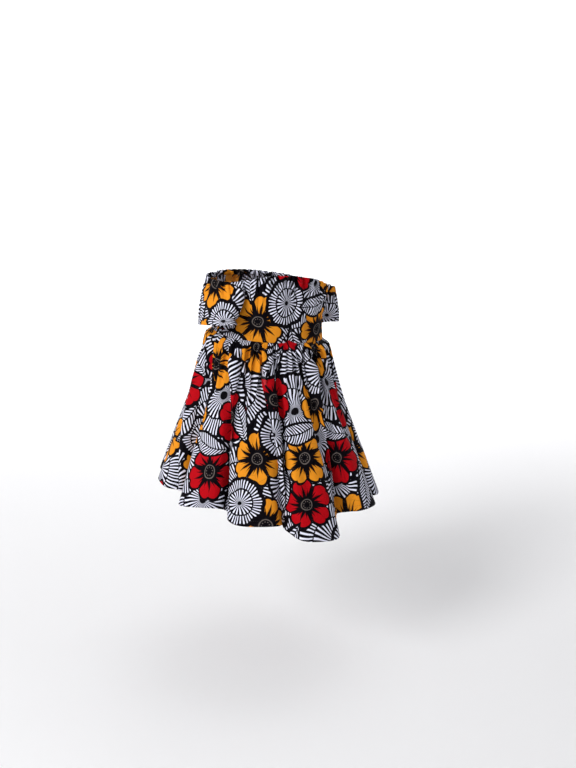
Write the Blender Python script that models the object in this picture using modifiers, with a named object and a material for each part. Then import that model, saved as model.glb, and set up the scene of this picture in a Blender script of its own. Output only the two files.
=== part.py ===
"""A toddler's off-the-shoulder dress in printed cotton, with the hollow form that it has when worn.

Metres, +Z up. The front faces -Y and the wearer's right is at -X. The origin is the centre of the
neckline opening, level with the middle of its front edge. An angle round the body is 0 degrees at
the middle of the front, 90 at the wearer's left, 180 at the back and -90 at the wearer's right.
"""

import math

import bmesh
import bpy
import numpy as np

COLLECTION = "wax_print_dress"
FRONT, BACK = 0, 180         # angles of the middles of the panels
RIGHT, LEFT = -1, 1          # the wearer's sides, along X

# Cloth
WALL = 0.0012
SEAM_GAP = 0.0003            # between two walls in line with each other
SLANT_GAP = 0.0010           # between wall middles where two walls meet at a slant
CORNER_GAP = 0.0020          # between wall middles where a sleeve turns away from the bodice

# Stance: the wearer leans, so every ring of the dress falls towards one side
LEAN = 0.11                  # metres of fall for each metre
NECK_LEAN = 0.15             # the same at the neckline
LEAN_ANGLE = 60
SWAY = 0.007                 # how far the waist and the skirt lie away from that side

# Bodice: from the gathered neckline to the waist seam
WAIST_HEIGHT = -0.107
BODICE_SECTIONS = (
    # share of the way down, half width, half depth, squareness
    (0.00, 0.0830, 0.0720, 3.0),
    (0.25, 0.0800, 0.0750, 3.0),
    (0.50, 0.0790, 0.0770, 2.9),
    (0.78, 0.0825, 0.0775, 2.6),
    (1.00, 0.0905, 0.0785, 2.3),
)
NECKLINE = (
    # angle round the body, height of the edge
    (0, 0.000),
    (30, -0.003),
    (58, -0.0155),
    (90, -0.024),
    (122, -0.021),
    (180, -0.018),
)
NECK_GATHERS = 44            # round the whole neckline
NECK_GATHER_DEPTH = 0.0014
NECK_GATHER_FADE = 0.40      # share of the way down over which they die away
GATHER_DRIFT = (
    # what makes the gathers uneven: waves round the body, how far each shifts a gather, its start
    (5, 0.9, 1.0),
    (11, 0.6, 2.2),
)
TUCK_ANGLE = -3              # one deeper fold beside the middle of the front
TUCK_WIDTH = 6
TUCK_DEPTH = 0.003

# Armholes and sleeves
ARMHOLE_ANGLE = 58           # armhole seam at the neckline, from the middle of the front or back
UNDERARM = 0.72              # share of the way down the bodice where the seams meet
ARMHOLE_SWEEP = 2.8          # 1 is a straight seam, and more sweeps outwards lower down
SLEEVE_UNDERARM = 0.90       # the same place, as a share of the sleeve's length
SLEEVE_LENGTH = 0.077
SLEEVE_RISE = 0.019          # how much higher the hem is at the front of the arm than behind it
SLEEVE_SECTIONS = (
    # share of the way down, outermost edge, half width, half depth
    (0.00, 0.1080, 0.0240, 0.0420),
    (0.30, 0.1165, 0.0218, 0.0430),
    (0.65, 0.1215, 0.0208, 0.0445),
    (1.00, 0.1230, 0.0205, 0.0450),
)
SLEEVE_FORWARD = {RIGHT: 0.018, LEFT: -0.010}    # how far forward each sleeve's hem is held
SLEEVE_OUT = {RIGHT: 0.007, LEFT: 0.000}         # and how far out
SLEEVE_SPREAD = {RIGHT: 0.008, LEFT: 0.000}      # how much the raised arm spreads its hem
SLEEVE_GATHERS = 11          # across one sleeve
END_BLEND = 0.30             # share of the sleeve's width that bends to meet each armhole seam

# Skirt: gathered at the waist seam, with soft flutes at the hem
WAIST_GATHERS = 56
WAIST_GATHER_DEPTH = 0.0032
WAIST_GATHER_START = 0.06    # share of the way down to where they are full
WAIST_GATHER_FADE = 0.42     # and to where they have died away
WAIST_PUFF = 0.004           # how far the gathered cloth stands out below the seam
SHOULDER_REACH = 1.02        # how far out a flute's shoulders are, where 1 is its crest
FLUTES = (
    # angle of the crest, its radius, its width in degrees, radius of the valley before it,
    # height of the hem, how much lower it is on the wearer's right of the crest than on the left
    (-69, 0.192, 27, 0.138, -0.370, 0.024),
    (-35, 0.196, 26, 0.146, -0.374, 0.012),
    (-6, 0.213, 24, 0.150, -0.387, 0.000),
    (29, 0.196, 25, 0.140, -0.357, -0.004),
    (62, 0.190, 23, 0.142, -0.362, 0.000),
    (93, 0.188, 22, 0.146, -0.366, 0.004),
    (127, 0.187, 26, 0.142, -0.368, 0.000),
    (161, 0.184, 22, 0.148, -0.366, -0.004),
    (193, 0.182, 24, 0.142, -0.367, 0.000),
    (227, 0.187, 25, 0.140, -0.368, 0.004),
    (260, 0.188, 23, 0.142, -0.364, 0.000),
)

# Mesh: columns across each panel, and its rows as shares of the way down
BODICE_COLUMNS = 48
BODICE_ROWS = (0.0, 0.08, 0.20, 0.36, 0.52, 0.64, 0.72, 0.86, 1.0)
SLEEVE_COLUMNS = 24
SLEEVE_ROWS = (0.0, 0.12, 0.30, 0.48, 0.66, 0.80, 0.90, 1.0)
SKIRT_COLUMNS = 112
SKIRT_ROWS = (0.0, 0.04, 0.10, 0.20, 0.36, 0.56, 0.78, 1.0)
HEM_STEPS = 16               # steps from each knot of the hem to the next
MERGE = 0.00001

# Printed cotton: each piece's main colour
ORANGE = (0.85, 0.42, 0.05, 1)
RED = (0.55, 0.02, 0.04, 1)
PALE = (0.75, 0.75, 0.80, 1)
ROUGHNESS = 0.65


def on_curve(table, place, column):
    """The value of one column at a place in the first column, on a smooth curve through the rows."""
    last = len(table) - 2
    row = max(i for i in range(last + 1) if i == 0 or table[i][0] <= place)
    start, end = table[row], table[row + 1]
    before, after = table[max(row - 1, 0)], table[min(row + 2, last + 1)]
    step = end[0] - start[0]
    slope_in = (end[column] - before[column]) / (end[0] - before[0]) * step
    slope_out = (after[column] - start[column]) / (after[0] - start[0]) * step
    t = min(max((place - start[0]) / step, 0.0), 1.0)
    return (
        start[column] * (2 * t**3 - 3 * t**2 + 1)
        + slope_in * (t**3 - 2 * t**2 + t)
        + end[column] * (3 * t**2 - 2 * t**3)
        + slope_out * (t**3 - t**2)
    )


def on_ring(angle, half_width, half_depth, squareness):
    """A point of a rounded ring round the body, at an angle. At squareness 2 it is an ellipse."""
    side = math.sin(math.radians(angle))
    front = math.cos(math.radians(angle))
    across = abs(side / half_width) ** squareness
    along = abs(front / half_depth) ** squareness
    radius = (across + along) ** (-1 / squareness)
    return radius * side, -radius * front


def leaning(x, y, z):
    """The height of a point after it has fallen because the wearer leans."""
    direction = math.radians(LEAN_ANGLE)
    slope = LEAN + (NECK_LEAN - LEAN) * max(1 - z / WAIST_HEIGHT, 0)
    return z - slope * (x * math.sin(direction) - y * math.cos(direction))


def sway(share):
    """How far a ring of the bodice is moved sideways, at a share of the way down to the waist."""
    direction = math.radians(LEAN_ANGLE)
    aside = SWAY * share**2
    return -aside * math.sin(direction), aside * math.cos(direction)


def wrapped(angle):
    """The same angle between -180 and 180."""
    return (angle + 180) % 360 - 180


def turn_of(angle):
    """An angle round the body as a share of a full turn from the right side seam."""
    return (angle + 90) / 360


def uneven(turn, count):
    """Waves round the body, from -1 to 1, whose widths vary a little from one to the next."""
    drift = sum(
        shift * math.sin(waves * turn * math.tau + start) for waves, shift, start in GATHER_DRIFT
    )
    return math.cos(count * turn * math.tau + drift)


def fade(share, length):
    """Falls smoothly from 1 at a seam to 0 at a share of the way along the cloth."""
    rest = max(1 - share / length, 0.0)
    return rest * rest * (3 - 2 * rest)


def neckline_height(angle):
    """The height of the neckline's edge before it leans, the same on the left as on the right."""
    return on_curve(NECKLINE, abs(wrapped(angle)), 1)


def bodice_point(angle, share):
    """A point in the middle of the bodice's wall, at an angle and a share of the way down."""
    half_width, half_depth, squareness = (
        on_curve(BODICE_SECTIONS, share, column) for column in (1, 2, 3)
    )
    x, y = on_ring(angle, half_width, half_depth, squareness)
    turn = turn_of(angle)
    depth = NECK_GATHER_DEPTH * fade(share, NECK_GATHER_FADE) * uneven(turn, NECK_GATHERS)
    depth -= TUCK_DEPTH * math.exp(-(((wrapped(angle) - TUCK_ANGLE) / TUCK_WIDTH) ** 2))
    scale = 1 + depth / math.hypot(x, y)
    aside_x, aside_y = sway(share)
    z = neckline_height(angle) * (1 - share) + WAIST_HEIGHT * share
    return x * scale + aside_x, y * scale + aside_y, leaning(x, y, z)


def armhole_angle(share):
    """How far the edge of the bodice front or back lies from its middle, in degrees."""
    if share >= UNDERARM:
        return 90
    return ARMHOLE_ANGLE + (90 - ARMHOLE_ANGLE) * (share / UNDERARM) ** ARMHOLE_SWEEP


def bodice_panel_point(middle, across, share):
    """A point of the front or back panel, across from edge to edge and down from neck to waist."""
    gap = math.degrees(SEAM_GAP / 2 / BODICE_SECTIONS[0][1])
    reach = armhole_angle(share) - gap
    angle = middle + reach * (2 * across - 1)
    x, y, z = bodice_point(angle, share)
    return x, y, z + SLANT_GAP / 2 * (share == 1)


def armhole_point(side, middle, share):
    """Where a sleeve's edge meets the bodice, a gap outside the bodice's own edge."""
    reach = armhole_angle(share)
    angle = side * (reach if middle == FRONT else 180 - reach)
    x, y, z = bodice_point(angle, share)
    return x + side * CORNER_GAP, y, z


def sleeve_drop(turn, share):
    """How far below the neckline a point of the sleeve hangs: the hem is raised at the front."""
    return SLEEVE_LENGTH * share - SLEEVE_RISE * share**2 * (1 + math.sin(turn)) / 2


def sleeve_ring(side, share):
    """The middle of the sleeve tube at a share of the way down, and its half width and depth."""
    outermost, half_width, half_depth = (
        on_curve(SLEEVE_SECTIONS, share, column) for column in (1, 2, 3)
    )
    middle_x = side * (outermost + SLEEVE_OUT[side] * share - half_width)
    half_depth += SLEEVE_SPREAD[side] * share
    return middle_x, -SLEEVE_FORWARD[side] * share, half_width, half_depth


def sleeve_ring_point(side, turn, share):
    """A point of the plain sleeve tube: turn is 0 on the outside, positive towards the front."""
    middle_x, middle_y, half_width, half_depth = sleeve_ring(side, share)
    return middle_x + side * half_width * math.cos(turn), middle_y - half_depth * math.sin(turn)


def sleeve_end(side, middle, share):
    """Where the edge of the sleeve lies, and its turn round the sleeve tube."""
    joined = min(share / SLEEVE_UNDERARM, 1.0)
    x, y, z = armhole_point(side, middle, UNDERARM * joined)
    turn = math.pi
    if joined < 1.0:
        middle_x, middle_y, half_width, half_depth = sleeve_ring(side, share)
        turn = math.atan2(abs(y - middle_y) / half_depth, side * (x - middle_x) / half_width)
    else:
        free = (share - SLEEVE_UNDERARM) / (1 - SLEEVE_UNDERARM)
        tube_x, tube_y = sleeve_ring_point(side, turn, share)
        x += (tube_x - x) * free
        y += (tube_y - y) * free
        z -= sleeve_drop(turn, share) - sleeve_drop(turn, SLEEVE_UNDERARM)
    return (x, y, z), turn if middle == FRONT else -turn


def sleeve_point(side, across, share):
    """A point of the sleeve's wall, across from its front edge to its back edge."""
    front, first_turn = sleeve_end(side, FRONT, share)
    back, last_turn = sleeve_end(side, BACK, share)
    turn = first_turn + (last_turn - first_turn) * across
    x, y = sleeve_ring_point(side, turn, share)
    angle = side * (ARMHOLE_ANGLE + (180 - 2 * ARMHOLE_ANGLE) * across)
    z = leaning(x, y, neckline_height(angle) - sleeve_drop(turn, share))
    for (end_x, end_y, end_z), end_turn, end_angle, away in (
        (front, first_turn, ARMHOLE_ANGLE, across),
        (back, last_turn, 180 - ARMHOLE_ANGLE, 1 - across),
    ):
        bend = fade(away, END_BLEND)
        ring_x, ring_y = sleeve_ring_point(side, end_turn, share)
        drop = sleeve_drop(end_turn, share)
        ring_z = leaning(ring_x, ring_y, neckline_height(side * end_angle) - drop)
        x += (end_x - ring_x) * bend
        y += (end_y - ring_y) * bend
        z += (end_z - ring_z) * bend
    gather = NECK_GATHER_DEPTH * fade(share, NECK_GATHER_FADE) * math.sin(math.pi * across)
    gather *= uneven(across * SLEEVE_GATHERS / NECK_GATHERS, NECK_GATHERS)
    return x + side * gather * math.cos(turn), y - gather * math.sin(turn), z


def hem_knots():
    """Points that draw the hem along, as (angle, radius, height), from the right side seam on."""
    knots = []
    for row, (angle, crest, width, valley, height, slant) in enumerate(FLUTES):
        last_angle, _, last_width, _, last_height, _ = FLUTES[row - 1]
        gap_start = last_angle - 360 * (row == 0) + last_width / 2
        gap_end = angle - width / 2
        shoulder = valley + SHOULDER_REACH * (crest - valley)
        knots.append(((gap_start + gap_end) / 2, valley, (last_height + height) / 2))
        knots.append((gap_end, shoulder, height - slant / 2))
        knots.append((angle, crest, height))
        knots.append((angle + width / 2, shoulder, height + slant / 2))
    return knots


def rounded(points, steps):
    """A closed soft curve that points draw along, with a number of steps from each to the next."""
    curve = []
    for i, start in enumerate(points):
        four = points[i - 1], start, points[(i + 1) % len(points)], points[(i + 2) % len(points)]
        for step in range(steps):
            curve.append([spline(*values, step / steps) for values in zip(*four)])
    return np.array(curve)


def spline(a, b, c, d, t):
    """A value of a uniform cubic B-spline, a share t of the way from near b to near c."""
    return (
        a * (1 - t) ** 3
        + b * (3 * t**3 - 6 * t**2 + 4)
        + c * (3 * t - 3 * t**3 + 3 * t**2 + 1)
        + d * t**3
    ) / 6


def hem_line():
    """The hem as shares of its length, its points, and the angles at the waist that it hangs from."""
    knots = hem_knots()
    turns = [math.radians(angle) for angle, radius, height in knots]
    curve = rounded(
        [
            (radius * math.sin(turn), -radius * math.cos(turn), height)
            for turn, (angle, radius, height) in zip(turns, knots)
        ],
        HEM_STEPS,
    )
    curve = np.vstack([curve, curve[:1]])
    steps = np.linalg.norm(np.diff(curve, axis=0), axis=1)
    shares = np.concatenate([[0.0], np.cumsum(steps) / steps.sum()])
    middles = [knot[0] for knot in knots[::2]] + [knots[0][0] + 360]
    return shares, curve, np.interp(shares, shares[:: 2 * HEM_STEPS], middles)


def skirt_point(hem, across, share):
    """A point of the skirt's wall, at a share of the way round the hem and down the skirt."""
    shares, curve, angles = hem
    round_hem = across % 1.0
    angle = np.interp(round_hem, shares, angles)
    hem_x, hem_y, hem_z = (np.interp(round_hem, shares, curve[:, axis]) for axis in range(3))
    half_width, half_depth, squareness = BODICE_SECTIONS[-1][1:]
    waist_x, waist_y = on_ring(angle, half_width, half_depth, squareness)
    wave = uneven(turn_of(angle), WAIST_GATHERS)
    swell = fade(share, WAIST_GATHER_FADE) * (1 - fade(share, WAIST_GATHER_START))
    outward = 1 + swell * (WAIST_GATHER_DEPTH * wave + WAIST_PUFF) / math.hypot(waist_x, waist_y)
    aside_x, aside_y = sway(1)
    x = waist_x * outward * (1 - share) + hem_x * share
    y = waist_y * outward * (1 - share) + hem_y * share
    z = WAIST_HEIGHT * (1 - share) + hem_z * share
    return x + aside_x, y + aside_y, leaning(x, y, z)


def skirt_panel_point(hem, start, across, share):
    """A point of the front or back panel of the skirt, a seam's gap short of its neighbours."""
    around = math.tau * (BODICE_SECTIONS[-1][1] * (1 - share) + FLUTES[0][3] * share)
    turn = start + 0.5 * across + SLANT_GAP / 2 / around * (1 - 2 * across)
    x, y, z = skirt_point(hem, turn, share)
    return x, y, z - SLANT_GAP / 2 * (share == 0)


def panel(name, columns, rows, place, colour):
    """One piece of cloth: a flat grid with its points moved to their places, then given a wall."""
    cloth = bmesh.new()
    bmesh.ops.create_grid(cloth, x_segments=columns, y_segments=len(rows) - 1, size=0.5)
    for point in cloth.verts:
        across = point.co.x + 0.5
        row = round((0.5 - point.co.y) * (len(rows) - 1))
        point.co = place(across, rows[row])
    bmesh.ops.remove_doubles(cloth, verts=cloth.verts, dist=MERGE)
    mesh = bpy.data.meshes.new(name)
    cloth.to_mesh(mesh)
    cloth.free()
    mesh.shade_smooth()
    mesh.materials.append(cotton(name, colour))
    piece = bpy.data.objects.new(name, mesh)
    wall = piece.modifiers.new("wall", "SOLIDIFY")
    wall.thickness = WALL
    wall.offset = 0
    bpy.data.collections[COLLECTION].objects.link(piece)
    return piece


def cotton(name, colour):
    """A plain material in the piece's main colour."""
    material = bpy.data.materials.new(name)
    material.use_nodes = True
    shader = material.node_tree.nodes["Principled BSDF"]
    shader.inputs["Base Color"].default_value = colour
    shader.inputs["Roughness"].default_value = ROUGHNESS
    shader.inputs["Metallic"].default_value = 0
    return material


def add_bodice():
    for name, middle in (("bodice_front", FRONT), ("bodice_back", BACK)):
        panel(
            name,
            BODICE_COLUMNS,
            BODICE_ROWS,
            lambda across, share, middle=middle: bodice_panel_point(middle, across, share),
            PALE,
        )


def add_sleeves():
    for name, side in (("sleeve_right", RIGHT), ("sleeve_left", LEFT)):
        panel(
            name,
            SLEEVE_COLUMNS,
            SLEEVE_ROWS,
            lambda across, share, side=side: sleeve_point(side, across, share),
            ORANGE,
        )


def add_skirt():
    hem = hem_line()
    for name, start in (("skirt_front", 0.0), ("skirt_back", 0.5)):
        panel(
            name,
            SKIRT_COLUMNS,
            SKIRT_ROWS,
            lambda across, share, start=start: skirt_panel_point(hem, start, across, share),
            RED,
        )


def clear_scene():
    for thing in list(bpy.data.objects):
        bpy.data.objects.remove(thing, do_unlink=True)
    collection = bpy.data.collections.new(COLLECTION)
    bpy.context.scene.collection.children.link(collection)


def main():
    clear_scene()
    add_bodice()
    add_sleeves()
    add_skirt()


if __name__ == "__main__":
    main()
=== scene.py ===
# %% [markdown]
# # A toddler's dress in wax print cotton
#
# The dress is cut from one bold cotton print: two bodice panels, two sleeves and two skirt panels.
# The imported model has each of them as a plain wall. Here each one becomes real cloth: thin, with its
# edges turned in, its gathers, its stitches and its print.

# %% The frame
import math

import bmesh
import bpy
import numpy as np
from mathutils import Matrix, Vector


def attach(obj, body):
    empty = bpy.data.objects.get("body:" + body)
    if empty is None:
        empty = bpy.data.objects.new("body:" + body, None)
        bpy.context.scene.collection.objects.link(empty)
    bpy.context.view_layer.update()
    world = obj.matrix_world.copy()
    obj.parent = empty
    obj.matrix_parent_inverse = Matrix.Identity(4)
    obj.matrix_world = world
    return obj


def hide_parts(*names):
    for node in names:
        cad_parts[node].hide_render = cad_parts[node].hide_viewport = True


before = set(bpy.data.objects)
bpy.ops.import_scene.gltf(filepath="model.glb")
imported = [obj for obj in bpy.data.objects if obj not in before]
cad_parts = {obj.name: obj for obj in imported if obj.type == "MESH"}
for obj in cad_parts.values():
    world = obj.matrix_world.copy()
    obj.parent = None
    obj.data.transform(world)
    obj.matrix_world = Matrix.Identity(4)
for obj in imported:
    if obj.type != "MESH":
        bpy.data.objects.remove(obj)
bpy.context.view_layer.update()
print("nodes:", ", ".join(sorted(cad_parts)))

# %% [markdown]
# ## Camera
#
# The camera looks at the skirt from a little to the wearer's right and from above. A longer lens
# would flatten the flutes of the hem, so the lens is a normal one and the camera stands near.

# %% Camera
AIM = Vector((0, 0, -0.22))
VIEW_TURN = math.radians(-30)
VIEW_RISE = math.radians(15)
VIEW_DISTANCE = 1.85
LENS_MM = 52
SHIFT = (0.0215, 0.0189)

backwards = Vector((
    math.sin(VIEW_TURN) * math.cos(VIEW_RISE),
    -math.cos(VIEW_TURN) * math.cos(VIEW_RISE),
    math.sin(VIEW_RISE),
))
camera_data = bpy.data.cameras.new("camera")
camera_data.lens = LENS_MM
camera_data.shift_x, camera_data.shift_y = SHIFT
camera = bpy.data.objects.new("camera", camera_data)
camera.location = AIM + VIEW_DISTANCE * backwards
camera.rotation_euler = backwards.to_track_quat("Z", "Y").to_euler()
bpy.context.scene.collection.objects.link(camera)
bpy.context.scene.camera = camera
bpy.context.scene.view_settings.view_transform = "Standard"
print("camera at", [round(value, 3) for value in camera.location])

# %% [markdown]
# ## Studio
#
# Strong print colours are judged best under large soft lights. The strongest one stands far round at
# the left, where it rakes across the folds and models them. Weaker ones fill from the right and from
# above, two more light the wall behind, and the pale room does the rest.

# %% Floor
FLOOR_HEIGHT = -0.66
BOWL = (
    # distance from the middle, height above the floor
    (0.0, 0.0), (3.2, 0.0), (4.0, 0.06), (4.7, 0.28), (5.3, 0.75), (5.7, 1.5), (5.9, 2.6), (6.0, 4.2),
)
BOWL_STEPS = 96
PALE = (0.90, 0.90, 0.91, 1)


def new_material(name, roughness):
    """A material, and the shader that its finish is set on."""
    material = bpy.data.materials.new(name)
    material.use_nodes = True
    shader = material.node_tree.nodes["Principled BSDF"]
    shader.inputs["Roughness"].default_value = roughness
    return material, shader


def add_object(name, shape):
    """Turns a bmesh into an object with smooth faces."""
    for face in shape.faces:
        face.smooth = True
    mesh = bpy.data.meshes.new(name)
    shape.to_mesh(mesh)
    shape.free()
    made = bpy.data.objects.new(name, mesh)
    bpy.context.scene.collection.objects.link(made)
    return made


def add_floor():
    """A floor that curves up into a wall all round, so that no view shows where it ends."""
    shape = bmesh.new()
    points = [shape.verts.new((distance, 0, FLOOR_HEIGHT + height)) for distance, height in BOWL]
    edges = [shape.edges.new(pair) for pair in zip(points, points[1:])]
    bmesh.ops.spin(
        shape, geom=points + edges, cent=(0, 0, 0), axis=(0, 0, 1), angle=math.tau,
        steps=BOWL_STEPS, use_merge=True,
    )
    bmesh.ops.remove_doubles(shape, verts=shape.verts, dist=0.0001)
    bmesh.ops.recalc_face_normals(shape, faces=shape.faces)
    if sum(face.normal.z for face in shape.faces) < 0:
        bmesh.ops.reverse_faces(shape, faces=shape.faces)
    floor = add_object("floor", shape)
    material, shader = new_material("floor", roughness=0.9)
    shader.inputs["Base Color"].default_value = PALE
    floor.data.materials.append(material)


add_floor()
print("floor and wall:", len(BOWL), "rings of", BOWL_STEPS, "points")

# %% Room and lights
LIGHTS = (
    # name, place, size, watts
    ("key", (-2.65, -0.80, 1.50), 1.2, 76),
    ("fill", (2.2, -1.4, 0.6), 1.8, 2),
    ("top", (0.9, 0.5, 2.3), 2.0, 18),
)
WALL_LIGHTS = (
    # place, what it points at
    ((0.3, 2.6, 2.9), (1.6, 5.6, 0.6)),
    ((2.6, 1.6, 2.9), (4.2, 4.0, 0.6)),
)
WALL_SIZE, WALL_WATTS = 1.6, 110
ROOM_STRENGTH = 0.28


def add_light(name, place, size, watts, target=AIM):
    light = bpy.data.lights.new(name, "AREA")
    light.size = size
    light.energy = watts
    lamp = bpy.data.objects.new(name, light)
    lamp.location = place
    lamp.rotation_euler = (Vector(place) - Vector(target)).to_track_quat("Z", "Y").to_euler()
    bpy.context.scene.collection.objects.link(lamp)


for row in LIGHTS:
    add_light(*row)
for place, target in WALL_LIGHTS:
    add_light("wall", place, WALL_SIZE, WALL_WATTS, target)
room = bpy.data.worlds.new("room")
room.use_nodes = True
room.node_tree.nodes["Background"].inputs["Color"].default_value = PALE
room.node_tree.nodes["Background"].inputs["Strength"].default_value = ROOM_STRENGTH
bpy.context.scene.world = room
print("lights:", ", ".join(row[0] for row in LIGHTS))

# %% [markdown]
# ## The form of the dress
#
# The dress has no body inside it, so its form is worked out from its own sizes: rings round the body
# for the bodice, a small tube for each sleeve, and a hem line with eleven flutes for the skirt. These
# sizes are the solids' own sizes, so the cloth lies where the walls lie. Each function here takes
# whole arrays of places at once, because the cloth has many more points than the walls.

# %% How the dress hangs
FRONT, BACK = 0, 180         # angles of the middles of the panels
RIGHT, LEFT = -1, 1          # the wearer's sides, along X
LEAN, NECK_LEAN = 0.11, 0.15
LEAN_ANGLE = 60
SWAY = 0.007
WAIST_HEIGHT = -0.107
print("the waist seam lies", -WAIST_HEIGHT, "m below the neckline")

# %% Curves and rings
def on_curve(table, place, column):
    """One column at places in the first column, on a smooth curve through the rows."""
    x, y = np.array(table, float)[:, [0, column]].T
    place = np.clip(place, x[0], x[-1])
    row = np.clip(np.searchsorted(x, place, side="right") - 1, 0, len(x) - 2)
    before, after = np.maximum(row - 1, 0), np.minimum(row + 2, len(x) - 1)
    step = x[row + 1] - x[row]
    slope_in = (y[row + 1] - y[before]) / (x[row + 1] - x[before]) * step
    slope_out = (y[after] - y[row]) / (x[after] - x[row]) * step
    t = (place - x[row]) / step
    return (
        y[row] * (2 * t**3 - 3 * t**2 + 1)
        + slope_in * (t**3 - 2 * t**2 + t)
        + y[row + 1] * (3 * t**2 - 2 * t**3)
        + slope_out * (t**3 - t**2)
    )


def on_ring(angle, half_width, half_depth, squareness):
    """Points of a rounded ring round the body, at angles."""
    side, front = np.sin(np.radians(angle)), np.cos(np.radians(angle))
    across = abs(side / half_width) ** squareness
    along = abs(front / half_depth) ** squareness
    radius = (across + along) ** (-1 / squareness)
    return radius * side, -radius * front


def leaning(x, y, z):
    """Heights after they have fallen because the wearer leans."""
    direction = math.radians(LEAN_ANGLE)
    slope = LEAN + (NECK_LEAN - LEAN) * np.maximum(1 - z / WAIST_HEIGHT, 0)
    return z - slope * (x * math.sin(direction) - y * math.cos(direction))


def sway(share):
    """How far rings are moved sideways, at shares of the way down to the waist."""
    direction = math.radians(LEAN_ANGLE)
    aside = SWAY * share**2
    return -aside * math.sin(direction), aside * math.cos(direction)


def eased(share):
    """A share from 0 to 1, with a soft start and a soft end."""
    share = np.clip(share, 0, 1)
    return share * share * (3 - 2 * share)


def fade(share, length):
    """Falls smoothly from 1 at a seam to 0 at a share of the way along the cloth."""
    return eased(1 - share / length)


def wrapped(angle):
    """The same angle between -180 and 180."""
    return (angle + 180) % 360 - 180


# %% [markdown]
# ## Gathers
#
# A gathered edge is a row of small folds, round on top and sharp between. No two are the same: the
# spacing drifts, and each fold runs down a different way before it dies. A cosine gives a row of
# even waves, so its count is shifted by two slow waves, and its valleys are made sharp.

# %% Gathers
GATHER_DRIFT = (
    # waves round the body, how far each shifts a gather, its start
    (5, 0.9, 1.0),
    (11, 0.6, 2.2),
)
LENGTH_DRIFT = ((23, 0.0), (37, 1.3))      # waves round the body, and their start
GATHER_ROUNDNESS = 0.8
NECK_GATHERS, WAIST_GATHERS, SLEEVE_GATHERS = 44, 56, 11


def drift(turn):
    return sum(shift * np.sin(waves * turn * math.tau + start) for waves, shift, start in GATHER_DRIFT)


def folds(turn, count):
    """A row of folds from -1 to 1, round on top and sharp between."""
    return 2 * abs(np.cos((count * turn * math.tau + drift(turn)) / 2)) ** GATHER_ROUNDNESS - 1


def fold_length(turn, shortest, longest):
    """How far down a gather runs, which differs all round."""
    wave = sum(np.sin(waves * turn * math.tau + start) for waves, start in LENGTH_DRIFT)
    return shortest + (longest - shortest) * (wave + 2) / 4


print("gathers:", NECK_GATHERS, "round the neckline and", WAIST_GATHERS, "round the waist")

# %% [markdown]
# ## Bodice
#
# Front and back are the same piece of a ring. Between them the armhole seams slant out from the
# neckline to the underarm, as on a raglan. The rings are squarer at the top, where the neckline runs
# nearly straight across the chest and the back, and rounder towards the waist.

# %% Places on the bodice
BODICE_SECTIONS = (
    # share of the way down, half width, half depth, squareness
    (0.00, 0.0830, 0.0720, 3.0),
    (0.25, 0.0800, 0.0750, 3.0),
    (0.50, 0.0790, 0.0770, 2.9),
    (0.78, 0.0825, 0.0775, 2.6),
    (1.00, 0.0905, 0.0785, 2.3),
)
NECKLINE = (
    # angle round the body, height of the edge
    (0, 0.000),
    (30, -0.003),
    (58, -0.0155),
    (90, -0.024),
    (122, -0.021),
    (180, -0.018),
)
ARMHOLE_ANGLE = 58
UNDERARM = 0.72
ARMHOLE_SWEEP = 2.8
TUCK_ANGLE, TUCK_WIDTH, TUCK_DEPTH = -3, 6, 0.003
NECK_GATHER_DEPTH = 0.0019
NECK_GATHER_LENGTHS = (0.22, 0.62)     # shortest and longest
SEAM_TOUCH = 0.0003          # between the middles of two cloths that are sewn together


def neckline_height(angle):
    return on_curve(NECKLINE, abs(wrapped(angle)), 1)


def bodice_point(angle, share):
    half_width, half_depth, squareness = (
        on_curve(BODICE_SECTIONS, share, column) for column in (1, 2, 3)
    )
    x, y = on_ring(angle, half_width, half_depth, squareness)
    turn = (angle + 90) / 360
    length = fold_length(turn, *NECK_GATHER_LENGTHS)
    depth = NECK_GATHER_DEPTH * fade(share, length) * folds(turn, NECK_GATHERS)
    depth -= TUCK_DEPTH * np.exp(-(((wrapped(angle) - TUCK_ANGLE) / TUCK_WIDTH) ** 2))
    scale = 1 + depth / np.hypot(x, y)
    aside_x, aside_y = sway(share)
    z = neckline_height(angle) * (1 - share) + WAIST_HEIGHT * share
    return x * scale + aside_x, y * scale + aside_y, leaning(x, y, z)


def armhole_angle(share):
    """How far the edge of a bodice panel lies from its middle, in degrees."""
    joined = np.clip(share / UNDERARM, 0, 1)
    return ARMHOLE_ANGLE + (90 - ARMHOLE_ANGLE) * joined**ARMHOLE_SWEEP


def bodice_panel(middle):
    def place(across, share):
        gap = math.degrees(SEAM_TOUCH / 2 / BODICE_SECTIONS[0][1])
        reach = armhole_angle(share) - gap
        return bodice_point(middle + reach * (2 * across - 1), share)

    return place


front = bodice_point(FRONT, 0.0)
print("front of the neckline at", [round(float(value), 3) for value in front])

# %% [markdown]
# ## Sleeves
#
# A sleeve is a flat piece, wider than it is long, that bends round the arm. Its upper edges meet the
# bodice along the armhole seams, and below the underarm its two edges meet each other. Inside the
# piece the points lie on a tube, and near each edge they bend over to the seam.

# %% Places on the sleeves
SLEEVE_UNDERARM = 0.90
SLEEVE_LENGTH = 0.077
SLEEVE_RISE = 0.019
SLEEVE_SECTIONS = (
    # share of the way down, outermost edge, half width, half depth
    (0.00, 0.1080, 0.0240, 0.0420),
    (0.30, 0.1165, 0.0218, 0.0430),
    (0.65, 0.1215, 0.0208, 0.0445),
    (1.00, 0.1230, 0.0205, 0.0450),
)
SLEEVE_FORWARD = {RIGHT: 0.018, LEFT: -0.010}
SLEEVE_OUT = {RIGHT: 0.007, LEFT: 0.000}
SLEEVE_SPREAD = {RIGHT: 0.008, LEFT: 0.000}
END_BLEND = 0.30
SLEEVE_GATHER_LENGTHS = (0.25, 0.60)


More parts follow.
